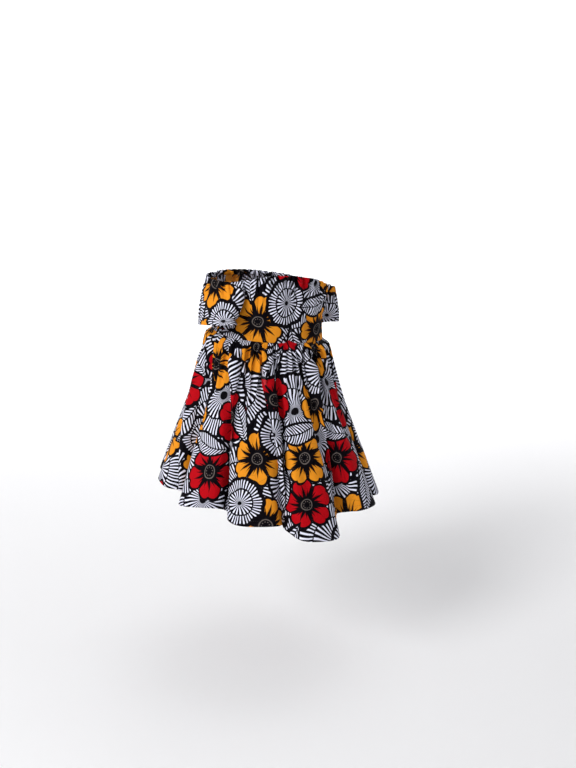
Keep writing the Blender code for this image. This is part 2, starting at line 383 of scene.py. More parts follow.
def sleeve_ring(side, share):
    """The middle of the sleeve tube at shares of the way down, and its half width and depth."""
    outermost, half_width, half_depth = (
        on_curve(SLEEVE_SECTIONS, share, column) for column in (1, 2, 3)
    )
    middle_x = side * (outermost + SLEEVE_OUT[side] * share - half_width)
    half_depth = half_depth + SLEEVE_SPREAD[side] * share
    return middle_x, -SLEEVE_FORWARD[side] * share, half_width, half_depth


def sleeve_tube_point(side, turn, share):
    middle_x, middle_y, half_width, half_depth = sleeve_ring(side, share)
    x, y = middle_x + side * half_width * np.cos(turn), middle_y - half_depth * np.sin(turn)
    return x, y


def sleeve_drop(turn, share):
    """How far below the neckline points of the sleeve hang: the hem is raised at the front."""
    return SLEEVE_LENGTH * share - SLEEVE_RISE * share**2 * (1 + np.sin(turn)) / 2


def sleeve_end(side, middle, share):
    """Where an edge of the sleeve lies, and its turn round the sleeve tube."""
    joined = np.minimum(share / SLEEVE_UNDERARM, 1)
    reach = armhole_angle(UNDERARM * joined)
    angle = side * (reach if middle == FRONT else 180 - reach)
    x, y, z = bodice_point(angle, UNDERARM * joined)
    x = x + side * SEAM_TOUCH
    middle_x, middle_y, half_width, half_depth = sleeve_ring(side, share)
    turn = np.arctan2(abs(y - middle_y) / half_depth, side * (x - middle_x) / half_width)
    turn = np.where(joined < 1, turn, math.pi)
    free = np.maximum(share - SLEEVE_UNDERARM, 0) / (1 - SLEEVE_UNDERARM)
    tube_x, tube_y = sleeve_tube_point(side, math.pi, share)
    fallen = sleeve_drop(math.pi, share) - sleeve_drop(math.pi, SLEEVE_UNDERARM)
    x = x + (tube_x - x) * free
    y = y + (tube_y - y) * free
    z = z - np.where(free > 0, fallen, 0)
    return (x, y, z), turn if middle == FRONT else -turn


def sleeve_panel(side):
    def place(across, share):
        front, first_turn = sleeve_end(side, FRONT, share)
        back, last_turn = sleeve_end(side, BACK, share)
        turn = first_turn + (last_turn - first_turn) * across
        x, y = sleeve_tube_point(side, turn, share)
        angle = side * (ARMHOLE_ANGLE + (180 - 2 * ARMHOLE_ANGLE) * across)
        z = leaning(x, y, neckline_height(angle) - sleeve_drop(turn, share))
        for (end_x, end_y, end_z), end_turn, end_angle, away in (
            (front, first_turn, ARMHOLE_ANGLE, across),
            (back, last_turn, 180 - ARMHOLE_ANGLE, 1 - across),
        ):
            bend = fade(away, END_BLEND)
            ring_x, ring_y = sleeve_tube_point(side, end_turn, share)
            drop = sleeve_drop(end_turn, share)
            ring_z = leaning(ring_x, ring_y, neckline_height(side * end_angle) - drop)
            x = x + (end_x - ring_x) * bend
            y = y + (end_y - ring_y) * bend
            z = z + (end_z - ring_z) * bend
        gather_turn = across * SLEEVE_GATHERS / NECK_GATHERS
        length = fold_length(gather_turn, *SLEEVE_GATHER_LENGTHS)
        gather = NECK_GATHER_DEPTH * fade(share, length) * np.sin(math.pi * across)
        gather = gather * folds(gather_turn, NECK_GATHERS)
        return x + side * gather * np.cos(turn), y - gather * np.sin(turn), z

    return place


print("a sleeve is", SLEEVE_LENGTH, "m long from the neckline")

# %% [markdown]
# ## Skirt
#
# The skirt is two A-line pieces of cloth, gathered into the waist seam. They fall into flutes, and
# the hem shows them best: a soft curve that swings out to each crest and in to each valley. Points
# that draw this curve along come from the table of flutes, and a B-spline rounds them.

# %% Places on the skirt
WAIST_PUFF = 0.004
SHOULDER_REACH = 1.02
HEM_STEPS = 48
FLUTES = (
    # angle of the crest, its radius, its width in degrees, radius of the valley before it,
    # height of the hem, how much lower it is on the wearer's right of the crest than on the left
    (-69, 0.192, 27, 0.138, -0.370, 0.024),
    (-35, 0.196, 26, 0.146, -0.374, 0.012),
    (-6, 0.213, 24, 0.150, -0.387, 0.000),
    (29, 0.196, 25, 0.140, -0.357, -0.004),
    (62, 0.190, 23, 0.142, -0.362, 0.000),
    (93, 0.188, 22, 0.146, -0.366, 0.004),
    (127, 0.187, 26, 0.142, -0.368, 0.000),
    (161, 0.184, 22, 0.148, -0.366, -0.004),
    (193, 0.182, 24, 0.142, -0.367, 0.000),
    (227, 0.187, 25, 0.140, -0.368, 0.004),
    (260, 0.188, 23, 0.142, -0.364, 0.000),
)
WAIST_GATHER_DEPTH = 0.0044
WAIST_GATHER_START = 0.05
WAIST_GATHER_LENGTHS = (0.30, 0.62)
WAIST_PUFF_LENGTH = 0.42


def hem_line():
    """The hem as shares of its length, its points, and the angles at the waist that it hangs from."""
    knots = []
    for row, (angle, crest, width, valley, height, slant) in enumerate(FLUTES):
        last_angle, _, last_width, _, last_height, _ = FLUTES[row - 1]
        gap_start = last_angle - 360 * (row == 0) + last_width / 2
        gap_end = angle - width / 2
        shoulder = valley + SHOULDER_REACH * (crest - valley)
        knots.append(((gap_start + gap_end) / 2, valley, (last_height + height) / 2))
        knots.append((gap_end, shoulder, height - slant / 2))
        knots.append((angle, crest, height))
        knots.append((angle + width / 2, shoulder, height + slant / 2))
    angle, radius, height = np.array(knots).T
    turn = np.radians(angle)
    points = np.stack([radius * np.sin(turn), -radius * np.cos(turn), height], axis=1)
    t = (np.arange(HEM_STEPS) / HEM_STEPS)[:, None]
    weights = (
        (1 - t) ** 3 / 6,
        (3 * t**3 - 6 * t**2 + 4) / 6,
        (3 * t - 3 * t**3 + 3 * t**2 + 1) / 6,
        t**3 / 6,
    )
    curve = []
    for i in range(len(points)):
        four = [points[(i + step) % len(points)] for step in (-1, 0, 1, 2)]
        curve.append(sum(weight * point for weight, point in zip(weights, four)))
    curve = np.vstack(curve + [curve[0][:1]])
    steps = np.linalg.norm(np.diff(curve, axis=0), axis=1)
    shares = np.concatenate([[0], np.cumsum(steps) / steps.sum()])
    middles = np.append(angle[::2], angle[0] + 360)
    return shares, curve, np.interp(shares, shares[:: 2 * HEM_STEPS], middles), steps.sum()


HEM_SHARES, HEM_CURVE, HEM_ANGLES, HEM_LENGTH = hem_line()
print(len(FLUTES), "flutes, with crests at", [row[0] for row in FLUTES], "degrees")
print("hem round its flutes:", round(HEM_LENGTH, 3), "m")


def skirt_panel(start):
    def place(across, share):
        hem_share = (start + 0.5 * across) % 1.0
        angle = np.interp(hem_share, HEM_SHARES, HEM_ANGLES)
        hem_x, hem_y, hem_z = (
            np.interp(hem_share, HEM_SHARES, HEM_CURVE[:, axis]) for axis in range(3)
        )
        waist_x, waist_y = on_ring(angle, *BODICE_SECTIONS[-1][1:])
        turn = (angle + 90) / 360
        swell = 1 - fade(share, WAIST_GATHER_START)
        wave = folds(turn, WAIST_GATHERS) * fade(share, fold_length(turn, *WAIST_GATHER_LENGTHS))
        outward = swell * (WAIST_GATHER_DEPTH * wave + WAIST_PUFF * fade(share, WAIST_PUFF_LENGTH))
        outward = 1 + outward / np.hypot(waist_x, waist_y)
        aside_x, aside_y = sway(1)
        x = waist_x * outward * (1 - share) + hem_x * share
        y = waist_y * outward * (1 - share) + hem_y * share
        z = WAIST_HEIGHT * (1 - share) + hem_z * share
        return x + aside_x, y + aside_y, leaning(x, y, z)

    return place


# %% [markdown]
# ## Cloth from a flat grid
#
# A piece of cloth starts flat, as it lies on the cutting table, and that flat grid is its map: every
# point keeps its place on the cut, in metres, for the print. Then each point goes to its place on the
# dress. All round, the edge is turned in as a maker turns it: allowances at the seams, a narrow hem
# below, and a casing at the neckline.

# %% Turned edges
SEAM_TURN = (
    # flat distance past the edge, distance back from the edge, distance to the inside
    (0.0004, 0.0001, 0.0004),
    (0.0009, 0.0005, 0.0006),
    (0.0040, 0.0036, 0.0006),
    (0.0080, 0.0076, 0.0006),
)
WAIST_TURN = (
    # the skirt's allowance stands up inside the bodice, so it reaches past the edge
    (0.0004, -0.0003, 0.0004),
    (0.0015, -0.0014, 0.0006),
    (0.0050, -0.0048, 0.0006),
    (0.0090, -0.0086, 0.0006),
)
HEM_TURN = (
    (0.0006, 0.0001, 0.0005),
    (0.0014, 0.0006, 0.0011),
    (0.0050, 0.0042, 0.0012),
    (0.0110, 0.0102, 0.0012),
)


def along(grid, places, place, axis):
    """A grid of points read between its rows or columns, at one place or at several."""
    index = np.clip(np.searchsorted(places, place) - 1, 0, len(places) - 2)
    share = (place - places[index]) / (places[index + 1] - places[index])
    if np.ndim(place):
        share = share.reshape([-1 if number == axis else 1 for number in range(grid.ndim)])
    start, end = np.take(grid, index, axis=axis), np.take(grid, index + 1, axis=axis)
    return start + (end - start) * share


def turned(points, normals, places, axis, first, last):
    """The grid with its edges on one axis turned in, by one table for its start and one for its end."""
    def turn(spots, inside):
        facing = along(normals, places, spots, axis)
        back_in = facing * np.expand_dims(inside, (1 - axis, 2))
        return along(points, places, spots, axis) - back_in, facing

    _, back, inside = np.array(first[::-1]).T
    start = turn(places[0] + back, inside)
    _, back, inside = np.array(last).T
    end = turn(places[-1] - back, inside)
    return [np.concatenate(blocks, axis=axis) for blocks in zip(start, (points, normals), end)]


def edged(grid, axis, first, last):
    """Places on the cut for a grid whose edges have been turned in: the cut goes on past the fold."""
    start, second, before_end, end = (np.take(grid, [index], axis=axis) for index in (0, 1, -2, -1))
    back, on = (
        step / np.linalg.norm(step, axis=2, keepdims=True) for step in (start - second, end - before_end)
    )
    before = [start + back * past for past, _, _ in reversed(first)]
    after = [end + on * past for past, _, _ in last]
    return np.concatenate(before + [grid] + after, axis=axis)


def normals_of(points):
    """Which way the cloth faces at each point of a grid."""
    across, down = np.gradient(points, axis=0), np.gradient(points, axis=1)
    facing = np.cross(down, across)
    return facing / np.linalg.norm(facing, axis=2, keepdims=True)


print("allowance at the seams:", SEAM_TURN[-1][0], "m; hem:", HEM_TURN[-1][0], "m")

# %% [markdown]
# ### A map of the cut
#
# The lengths along the worn cloth give a first map, but on a panel that slants it is sheared. So a
# coarse net of threads is let go on the table: each thread pulls its two ends until they are as far
# apart as they are on the dress, round after round, and the print comes out true.

# %% Flat maps
ROW_BLUR, COLUMN_BLUR = 0.14, 0.05
RELAX_GRID = (64, 22)        # at most this many threads each way are let go
RELAX_BLUR = (0.035, 0.10)
RELAX_ROUNDS = 700


def blurred(places, reach):
    """Weights that mix each place with its neighbours, because a thread can't follow a crease."""
    weights = np.exp(-(((places[:, None] - places[None, :]) / reach) ** 2))
    return weights / weights.sum(axis=1, keepdims=True)


def walked(points, axis):
    """How far each point of a grid lies from the first one on its thread."""
    steps = np.linalg.norm(np.diff(points, axis=axis), axis=2)
    return np.insert(np.cumsum(steps, axis=axis), 0, 0, axis=axis)


def flat_map(points, places, a_line):
    """Each point's place on the cut, in metres. An A-line cut is given by two widths and a length."""
    across, down = walked(points, 0), walked(points, 1)
    columns, rows = (np.linspace(0, 1, count) for count in points.shape[:2])
    shares = across / across[-1] @ blurred(rows, ROW_BLUR).T
    if a_line:
        share = np.broadcast_to(places, across.shape)
        across = shares * (a_line[0] + (a_line[1] - a_line[0]) * share)
        down = share * a_line[2]
    else:
        across = shares * across[-1]
        down = blurred(columns, COLUMN_BLUR) @ down
        down = down - down[:, -1:]
    return np.stack([across - across[-1] / 2, down], axis=2)


def thread_lengths(points, picked):
    """What a coarse net of threads measures on the dress: its sides, its diagonals and their steps."""
    knots = points[np.ix_(*picked)]
    calm = [
        [blurred(np.linspace(0, 1, len(lines) - short), reach) for short in (0, 1)]
        for lines, reach in zip(picked, RELAX_BLUR)
    ]
    across, down = (np.diff(walked(points, axis)[np.ix_(*picked)], axis=axis) for axis in (0, 1))
    across = calm[0][1] @ across @ calm[1][0].T
    down = calm[0][0] @ down @ calm[1][1].T
    chords = [np.diff(knots, axis=axis) for axis in (0, 1)]
    side, fall = (chords[0][:, 1:] + chords[0][:, :-1]) / 2, (chords[1][1:] + chords[1][:-1]) / 2
    slant = (side * fall).sum(axis=2) / np.linalg.norm(side, axis=2) / np.linalg.norm(fall, axis=2)
    slant = calm[0][1] @ slant @ calm[1][1].T
    wide, tall = (across[:, 1:] + across[:, :-1]) / 2, (down[1:] + down[:-1]) / 2
    diagonals = [np.sqrt(wide**2 + tall**2 + sign * 2 * wide * tall * slant) for sign in (1, -1)]
    return across, down, diagonals


def relaxed(points, cut):
    """Lets the threads of a first map find their true lengths, as cloth that is laid flat does."""
    picked = [
        np.unique(np.linspace(0, count - 1, most).astype(int))
        for count, most in zip(points.shape, RELAX_GRID)
    ]
    across, down, diagonals = thread_lengths(points, picked)
    ties = []
    for odd in (0, 1):
        ties.append((np.s_[odd:-1:2, :], np.s_[odd + 1 :: 2, :], across[odd::2]))
        ties.append((np.s_[:, odd:-1:2], np.s_[:, odd + 1 :: 2], down[:, odd::2]))
        for lengths, start, end in zip(diagonals, (np.s_[:-1], np.s_[1:]), (np.s_[1:], np.s_[:-1])):
            ties.append((np.s_[odd:-1:2, start], np.s_[odd + 1 :: 2, end], lengths[odd::2]))
    first = cut[np.ix_(*picked)]
    spots = first.copy()
    for _ in range(RELAX_ROUNDS):
        for start, end, lengths in ties:
            apart = spots[end] - spots[start]
            now = np.linalg.norm(apart, axis=2)
            pull = apart * (0.5 * (now - lengths) / np.maximum(now, 1e-6))[:, :, None]
            spots[start] += pull
            spots[end] -= pull
    columns, rows = picked
    moved = along(spots - first, columns, np.arange(points.shape[0]), 0)
    return cut + along(moved, rows, np.arange(points.shape[1]), 1)


print("threads are let go", RELAX_ROUNDS, "times")

# %% [markdown]
# ### A panel of cloth
#
# Each point is moved from its place on the plain form by the relief of its folds, then the edges are
# turned in. The grid is a single layer, and a Solidify modifier gives it the thickness of the cloth,
# with the paler inside as its second material.

# %% A panel of cloth
CLOTH = 0.0004


def cloth_panel(name, place, size, columns, rows, top, bottom, a_line=True, outward=1, relief=None):
    """One cut piece of cloth in its place. Returns what its stitches need: points, normals, places."""
    across = np.linspace(0, 1, columns + 1)
    grids = np.meshgrid(across, rows, indexing="ij")
    points = np.stack(place(*grids), axis=2)
    normals = normals_of(points) * outward
    if relief:
        sideways = np.gradient(points, axis=0)
        sideways = sideways / np.linalg.norm(sideways, axis=2, keepdims=True)
        out, aside = relief(*grids)
        points = points + normals * out[:, :, None] + sideways * aside[:, :, None]
        normals = normals_of(points) * outward
    cut = relaxed(points, flat_map(points, rows, size if a_line else None))
    main = points, normals, rows * size[-1], across * size[-2]
    widths = np.linalg.norm(np.diff(points, axis=0), axis=2).sum(axis=0)
    cut = edged(cut, 1, top, bottom)
    points, normals = turned(points, normals, main[2], 1, top, bottom)
    cut = edged(cut, 0, SEAM_TURN, SEAM_TURN)
    points, normals = turned(points, normals, main[3], 0, SEAM_TURN, SEAM_TURN)
    piece = cloth_object(name, points, cut, outward)
    shell = piece.modifiers.new("shell", "SOLIDIFY")
    shell.thickness = CLOTH
    shell.offset = 0
    shell.material_offset = 1
    print(name, points.shape[0], "x", points.shape[1], "points; rows from",
          round(widths.min(), 3), "to", round(widths.max(), 3), "m of cloth")
    return piece, main


def cloth_object(name, points, cut, outward):
    """A flat grid with a map of the cut, its points then moved to their places on the dress."""
    columns, rows = points.shape[0] - 1, points.shape[1] - 1
    cloth = bmesh.new()
    bmesh.ops.create_grid(cloth, x_segments=columns, y_segments=rows, size=0.5)
    spots = {
        point: (round((point.co.x + 0.5) * columns), round((0.5 - point.co.y) * rows))
        for point in cloth.verts
    }
    layer = cloth.loops.layers.uv.new("cut")
    for face in cloth.faces:
        for loop in face.loops:
            loop[layer].uv = cut[spots[loop.vert]]
    for point, spot in spots.items():
        point.co = points[spot]
    if outward < 0:
        bmesh.ops.reverse_faces(cloth, faces=cloth.faces)
    return add_object(name, cloth)


# %% [markdown]
# ## Folds and creases
#
# Two kinds of fold are laid on top of the gathers. A crease is a soft trough along a line.
# Where a flute of the skirt hangs over the valley beside it, the cloth runs under itself in an S:
# points near the line move sideways past each other while they step outwards. The places of the
# folds come from tables, deeper ones at the front and similar ones behind.

# %% Soft creases
CREASE_END = 0.12            # share of the way down over which a crease starts and ends


def between(share, start, end):
    """1 between two shares of the way down and 0 outside them, with soft ends."""
    return eased((share - start) / CREASE_END + 0.5) * eased((end - share) / CREASE_END + 0.5)


def crease_depth(creases, place, share, width):
    """How far in the creases push the cloth. width is the cloth's own width in metres."""
    depth = 0 * place
    for top, bottom, start, end, half_width, deep in creases:
        line = top + (bottom - top) * share
        away = (place - line) * width / half_width
        depth = depth + deep * np.exp(-away * away) * between(share, start, end)
    return depth


# %% Folds of the skirt
SKIRT_CREASES = (
    # place round the skirt at the waist and at the hem, first and last share of the way down,
    # half width, depth in metres. Places run from 0 at the right side seam by way of the front.
    (0.982, 1.060, 0.22, 0.72, 0.010, 0.0050),
    (0.030, 0.052, 0.06, 0.40, 0.006, 0.0030),
    (0.107, 0.128, 0.05, 0.50, 0.007, 0.0040),
    (0.128, 0.150, 0.12, 0.72, 0.012, 0.0045),
    (0.186, 0.216, 0.04, 0.46, 0.007, 0.0042),
    (0.212, 0.245, 0.10, 0.85, 0.013, 0.0046),
    (0.248, 0.270, 0.05, 0.38, 0.006, 0.0038),
    (0.275, 0.286, 0.06, 0.55, 0.009, 0.0044),
    (0.318, 0.372, 0.00, 0.26, 0.007, 0.0070),
    (0.345, 0.328, 0.06, 1.30, 0.012, 0.0080),
    (0.366, 0.366, 0.08, 0.60, 0.010, 0.0045),
    (0.402, 0.420, 0.04, 0.42, 0.007, 0.0040),
    (0.448, 0.455, 0.10, 0.66, 0.011, 0.0044),
    (0.486, 0.502, 0.05, 0.40, 0.007, 0.0038),
    (0.540, 0.532, 0.08, 0.62, 0.011, 0.0042),
    (0.585, 0.600, 0.04, 0.44, 0.007, 0.0040),
    (0.632, 0.618, 0.10, 0.72, 0.012, 0.0044),
    (0.676, 0.690, 0.05, 0.40, 0.006, 0.0038),
    (0.722, 0.712, 0.10, 0.66, 0.011, 0.0044),
    (0.768, 0.786, 0.04, 0.46, 0.007, 0.0040),
    (0.815, 0.805, 0.08, 0.70, 0.012, 0.0042),
    (0.862, 0.880, 0.05, 0.40, 0.007, 0.0038),
    (0.905, 0.898, 0.10, 0.60, 0.011, 0.0042),
)
SKIRT_OVERLAPS = (
    # place at the waist and at the hem, where it starts, half width, step outwards, sideways share,
    # and 1 where the cloth further round lies on top or -1 where it lies below
    (0.938, 0.9890, 0.08, 0.0085, 0.0070, 2.0, 1),
    (0.064, 0.1065, 0.04, 0.0095, 0.0085, 2.2, 1),
    (0.143, 0.1880, 0.04, 0.0095, 0.0085, 2.2, 1),
    (0.326, 0.3050, 0.04, 0.0100, 0.0090, 2.2, -1),
    (0.404, 0.3950, 0.14, 0.0085, 0.0065, 2.0, -1),
    (0.470, 0.4800, 0.12, 0.0085, 0.0060, 1.9, 1),
    (0.572, 0.5660, 0.10, 0.0090, 0.0070, 2.0, 1),
    (0.655, 0.6530, 0.16, 0.0085, 0.0060, 1.9, -1),
    (0.742, 0.7380, 0.10, 0.0090, 0.0070, 2.0, 1),
    (0.838, 0.8260, 0.14, 0.0085, 0.0060, 1.9, -1),
    (0.888, 0.9110, 0.12, 0.0085, 0.0065, 2.0, 1),
)
OVERLAP_BEND, OVERLAP_OUT = 0.8, 1.5
OVERLAP_EASING = 0.35        # how much flatter an overlap is at the hem
SKIRT_ROUND = (0.92, 1.48)   # cloth round the waist and round the hem
FINE_GATHERS, FINE_GATHER_START = 38, 0.013
FINE_GATHER_DEPTH = 0.0016
FINE_GATHER_LENGTHS = (0.16, 0.52)
WAIST_FREE = 0.04            # share of the way down over which folds grow from the waist seam


def skirt_relief(start):
    def relief(across, share):
        place = start + 0.5 * across
        width = SKIRT_ROUND[0] + (SKIRT_ROUND[1] - SKIRT_ROUND[0]) * share
        out, aside = 0 * place, 0 * place
        for lap in (-1, 0, 1):
            out = out - crease_depth(SKIRT_CREASES, place + lap, share, width)
            for top, bottom, begin, half_width, step, slide, side in SKIRT_OVERLAPS:
                line = top + (bottom - top) * share**OVERLAP_BEND
                away = (place + lap - line) * width / half_width
                strength = between(share, begin + CREASE_END / 2, 2) * (1 - OVERLAP_EASING * share**4)
                out = out + strength * step * side * OVERLAP_OUT * away * np.exp(-away * away / 2)
                aside = aside - strength * slide * half_width * away * np.exp(-away * away)
        wave = folds(place + FINE_GATHER_START, FINE_GATHERS)
        wave = wave * fade(share, fold_length(place, *FINE_GATHER_LENGTHS))
        free = 1 - fade(share, WAIST_FREE)
        return (out + FINE_GATHER_DEPTH * wave) * free, aside * free

    return relief


print(len(SKIRT_CREASES), "creases and", len(SKIRT_OVERLAPS), "overlaps on the skirt")

# %% [markdown]
# ### Folds of the bodice and the sleeves
#
# Above the waist the creases are short and point away from the casing. Beside a sleeve's seam the
# cloth puffs out, because the seam holds it back, so the seam lies in a shallow groove.

# %% Creases of the bodice and the sleeves
BODICE_CREASES = (
    # place across the panel at the neckline and at the waist, first and last share, half width, depth
    (0.02, 0.06, 0.00, 0.60, 0.006, 0.0028),
    (0.13, 0.22, 0.02, 0.55, 0.005, 0.0020),
    (0.27, 0.30, 0.00, 0.80, 0.007, 0.0022),
    (0.41, 0.45, 0.05, 0.62, 0.005, 0.0018),
    (0.52, 0.50, 0.00, 0.70, 0.004, 0.0026),
    (0.66, 0.62, 0.04, 0.90, 0.007, 0.0024),
    (0.78, 0.72, 0.00, 0.56, 0.005, 0.0022),
    (0.88, 0.80, 0.06, 0.75, 0.006, 0.0022),
    (0.98, 0.95, 0.00, 0.55, 0.006, 0.0028),
    (0.20, 0.10, 0.55, 1.10, 0.008, 0.0020),
    (0.58, 0.66, 0.60, 1.10, 0.008, 0.0022),
    (0.84, 0.92, 0.50, 1.10, 0.009, 0.0020),
)
SLEEVE_CREASES = (
    (0.02, 0.10, 0.00, 0.80, 0.006, 0.0030),
    (0.16, 0.20, 0.02, 0.62, 0.005, 0.0020),
    (0.30, 0.26, 0.00, 0.85, 0.006, 0.0024),
    (0.44, 0.42, 0.04, 0.55, 0.005, 0.0018),
    (0.58, 0.62, 0.00, 0.90, 0.007, 0.0024),
    (0.72, 0.76, 0.02, 0.60, 0.005, 0.0020),
    (0.86, 0.84, 0.00, 0.75, 0.006, 0.0022),
    (0.98, 0.90, 0.00, 0.80, 0.006, 0.0030),
)
NECK_FINE_DEPTH = 0.0015
NECK_FINE_LENGTHS, SLEEVE_FINE_LENGTHS = (0.30, 0.85), (0.30, 0.80)
BODICE_CLOTH, SLEEVE_CLOTH = (0.22, 0.10), (0.19, SLEEVE_LENGTH)    # width and length of a panel
SEAM_SWELL = 0.0036          # how far the cloth puffs out beside a sleeve's seam
SEAM_REACH = 0.009           # how far from the seam it puffs out most
SEAM_START = 0.04
CASING_ROW = 0.0095          # stitches of the casing, below the neckline
CASING_PINCH, PINCH_WIDTH = 0.0008, 0.0016
SIDE_CALM = 0.25             # small, so that the folds fade only just before a seam
WAIST_CALM = 0.12            # share of the way up over which they fade at the waist seam


def swell(across, share, width, end):
    """The cloth puffs out on both sides of a sleeve's seam, so the seam lies in a groove."""
    from_seam = width * np.minimum(across, 1 - across) / SEAM_REACH
    return SEAM_SWELL * from_seam * np.exp(1 - from_seam) * between(share, SEAM_START, end)


def pinch(share, length):
    """How far the casing's stitches pull the cloth in."""
    away = (share * length - CASING_ROW) / PINCH_WIDTH
    return CASING_PINCH * np.exp(-away * away)


def upper_folds(creases, across, share, turn, cloth, lengths):
    """Fine gathers below the casing, creases, and the pinch of the casing's stitches."""
    gather = NECK_FINE_DEPTH * folds(turn, NECK_GATHERS) * fade(share, fold_length(turn, *lengths))
    return gather - crease_depth(creases, across, share, cloth[0]) - pinch(share, cloth[1])


def bodice_relief(middle):
    def relief(across, share):
        turn = (middle + armhole_angle(share) * (2 * across - 1) + 90) / 360
        out = upper_folds(BODICE_CREASES, across, share, turn, BODICE_CLOTH, NECK_FINE_LENGTHS)
        free = np.sin(math.pi * across) ** SIDE_CALM * (1 - fade(1 - share, WAIST_CALM))
        return out * free + swell(across, share, BODICE_CLOTH[0], UNDERARM), 0 * across

    return relief


def sleeve_relief(across, share):
    turn = across * SLEEVE_GATHERS / NECK_GATHERS
    out = upper_folds(SLEEVE_CREASES, across, share, turn, SLEEVE_CLOTH, SLEEVE_FINE_LENGTHS)
    free = np.sin(math.pi * across) ** SIDE_CALM
    return out * free + swell(across, share, SLEEVE_CLOTH[0], 2), 0 * across


print(len(BODICE_CREASES), "creases on a bodice panel and", len(SLEEVE_CREASES), "on a sleeve")

# %% [markdown]
# ## Six pieces of cloth
#
# The gathers need many columns, and the skirt needs more of them than the bodice. On the skirt, rows lie
# closer together near the gathered waist, because the folds change fastest there.

# %% The six panels
BODICE_SIZE, SLEEVE_SIZE = (0.25, 0.11), (0.20, 0.08)    # rough width and length
SKIRT_CUT = (0.46, 0.74, 0.292)                          # width at the waist and at the hem, length
BODICE_GRID, SLEEVE_GRID, SKIRT_GRID = (360, 72), (220, 64), (460, 92)    # columns, rows of points
SKIRT_CROWD = 1.25


def spaced(count, crowd=1):
    """Shares from 0 to 1, closer together towards 0."""
    return np.linspace(0, 1, count) ** crowd


panels = {}
for name, middle in (("bodice_front", FRONT), ("bodice_back", BACK)):
    panels[name] = cloth_panel(
        name + "_cloth", bodice_panel(middle), BODICE_SIZE, BODICE_GRID[0], spaced(BODICE_GRID[1]),
        HEM_TURN, SEAM_TURN, a_line=False, relief=bodice_relief(middle),
    )
for name, side in (("sleeve_right", RIGHT), ("sleeve_left", LEFT)):
    panels[name] = cloth_panel(
        name + "_cloth", sleeve_panel(side), SLEEVE_SIZE, SLEEVE_GRID[0], spaced(SLEEVE_GRID[1]),
        HEM_TURN, HEM_TURN, a_line=False, outward=side, relief=sleeve_relief,
    )
for name, start in (("skirt_front", 0.0), ("skirt_back", 0.5)):
    panels[name] = cloth_panel(
        name + "_cloth", skirt_panel(start), SKIRT_CUT, SKIRT_GRID[0],
        spaced(SKIRT_GRID[1], SKIRT_CROWD), WAIST_TURN, HEM_TURN, relief=skirt_relief(start),
    )

# %% [markdown]
# ## The print
#
# Wax print has a hard black line round every shape and flat, strong colours. The print here is made
# of three simple shapes: blossoms, sun wheels and striped leaves. Each is a node group that works
# out how far a place on the cut is inside the shape, and lays its colours over what is there. Every
# distance is wrapped to the size of the repeat, so the print runs on without an edge.

# %% Nodes and links
def join(tree, value, socket):
    """Gives a socket a plain value, or links it to what works the value out."""
    if isinstance(value, Number):
        value = value.socket
    if isinstance(value, bpy.types.NodeSocket):
        tree.links.new(value, socket)
    else:
        socket.default_value = value


def node(tree, kind, values=(), **settings):
    """A new shader node, with settings by name and values for its first sockets."""
    made = tree.nodes.new("ShaderNode" + kind)
    for setting, value in settings.items():
        setattr(made, setting, value)
    for value, socket in zip(values, made.inputs):
        join(tree, value, socket)
    return made


# %% [markdown]
# ### Sums that become nodes
#
# One shape takes dozens of Math nodes. Linked one by one they would hide the idea, so a small class
# lets a sum be written as a sum and makes the nodes for it.

# %% Sums that become nodes
EDGE = 0.0003                # half the width over which one colour turns into the next


class Number:
    """A number that nodes work out. A sum written with it becomes Math nodes."""

    def __init__(self, tree, socket):
        self.tree, self.socket = tree, socket

    def do(self, operation, *values, **settings):
        made = node(self.tree, "Math", (self, *values), operation=operation, **settings)
        return Number(self.tree, made.outputs[0])

    def __add__(self, other):
        return self.do("ADD", other)

    def __sub__(self, other):
        return self.do("SUBTRACT", other)

    def __rsub__(self, other):
        return self.do("MULTIPLY_ADD", -1, other)

    def __mul__(self, other):
        return self.do("MULTIPLY", other)

    def __truediv__(self, other):
        return self.do("DIVIDE", other)

    def __pow__(self, other):
        return self.do("POWER", other)

    def __abs__(self):
        return self.do("ABSOLUTE")


def edge(inside):
    """1 where the distance inside a shape is above 0 and 0 outside it, with a soft edge."""
    return inside.do("MULTIPLY_ADD", 0.5 / EDGE, 0.5, use_clamp=True)


def hypotenuse(x, y):
    return (x * x + y * y).do("SQRT")


# %% [markdown]
# ### A shape of the print
#
# Each shape's group is given the colours that lie under it and where, how large and how far turned it
# is. It finds how far a place on the cut lies from the middle of the nearest copy, and at what angle.

# %% A shape of the print
PRINT_REPEAT = (0.34, 0.28)


def paint(tree, under, over, *shares):
    """One colour laid over another where all the shares are 1."""
    share = shares[0]
    for other in shares[1:]:
        share = share * other
    made = node(tree, "Mix", data_type="RGBA")
    for value, number in ((share, 0), (under, 6), (over, 7)):
        join(tree, value, made.inputs[number])
    return made.outputs[2]


